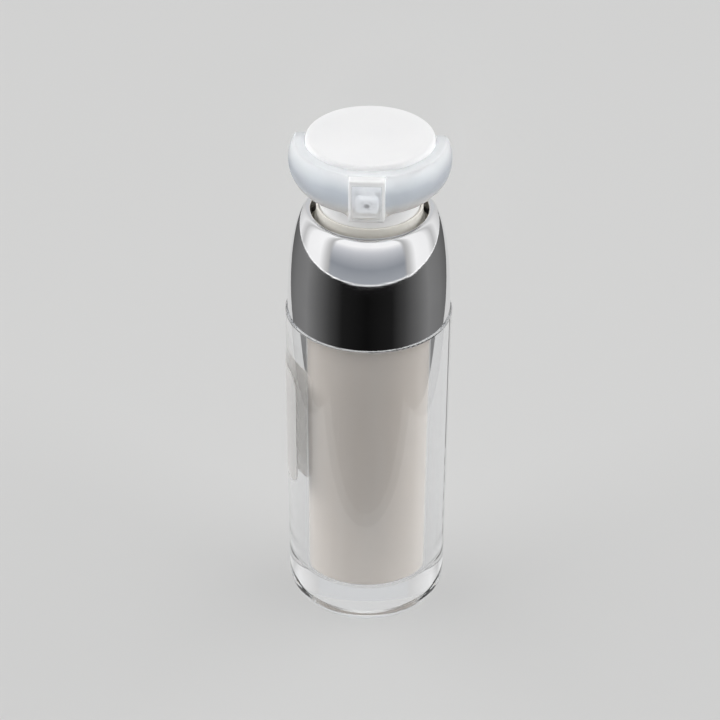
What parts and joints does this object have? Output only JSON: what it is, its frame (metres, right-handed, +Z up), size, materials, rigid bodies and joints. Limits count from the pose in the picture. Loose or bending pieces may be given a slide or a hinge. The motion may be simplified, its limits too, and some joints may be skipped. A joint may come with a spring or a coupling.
{
  "type": "airless pump bottle",
  "caption": "Slim clear double-wall airless pump bottle with white inner cup, mirror collar, push-down white dispenser head and pull-off milky nozzle cover.",
  "frame": {"origin": "on the bottle's axis, at the plane it stands on", "axes": "+Z up along the bottle's axis; the nozzle points to -Y; +X to the right of a viewer facing the nozzle"},
  "size_m": [0.0352, 0.035, 0.115],
  "materials": {
    "clear_acrylic": "clear polished acrylic",
    "white_cup": "smooth white polypropylene",
    "white_polyethylene": "soft white polyethylene",
    "label_paper": "bare white label stock",
    "metallised_collar": "mirror-bright vacuum-metallised plastic",
    "natural_polypropylene": "natural cream polypropylene",
    "gasket_foam": "soft foamed polyethylene",
    "spring_steel": "bright drawn stainless steel",
    "white_actuator": "satin white polypropylene",
    "milky_cover": "translucent milky polypropylene"
  },
  "bodies": {
    "bottle": {"outer_bottle": "clear_acrylic", "inner_bottle": "white_cup", "side_label": "label_paper", "shoulder_collar": "metallised_collar", "neck_closure": "natural_polypropylene", "pump_gasket": "gasket_foam", "pump_housing": "natural_polypropylene", "stem_guide": "natural_polypropylene", "return_spring": "spring_steel"},
    "follower": {"follower_piston": "white_polyethylene"},
    "inlet_valve": {"inlet_ball": "spring_steel"},
    "stem": {"pump_stem": "natural_polypropylene", "stem_foot": "natural_polypropylene"},
    "piston": {"pump_piston": "white_polyethylene"},
    "head": {"actuator_core": "white_actuator", "actuator_cap": "white_actuator", "nozzle_tip": "white_actuator"},
    "cover": {"nozzle_cover": "milky_cover"}
  },
  "joints": [
    {"name": "pump_press", "type": "slide", "parent": "bottle", "child": "stem", "axis": [0, 0, -1], "range_m": [0, 0.0045], "stiffness_N_per_m": 1200, "springref_m": -0.004, "deforming": ["return_spring"]},
    {"name": "head_swivel", "type": "hinge", "parent": "stem", "child": "head", "pos_m": [0, 0, 0.103], "axis": [0, 0, 1], "continuous": true},
    {"name": "cover_pull", "type": "slide", "parent": "head", "child": "cover", "axis": [0, -1, 0], "range_m": [0, 0.03]},
    {"name": "piston_shift", "type": "slide", "parent": "stem", "child": "piston", "axis": [0, 0, 1], "range_m": [0, 0.0008]},
    {"name": "ball_lift", "type": "slide", "parent": "bottle", "child": "inlet_valve", "axis": [0, 0, 1], "range_m": [0, 0.0008]},
    {"name": "follower_rise", "type": "slide", "parent": "bottle", "child": "follower", "axis": [0, 0, 1], "range_m": [0, 0.0615]}
  ]
}
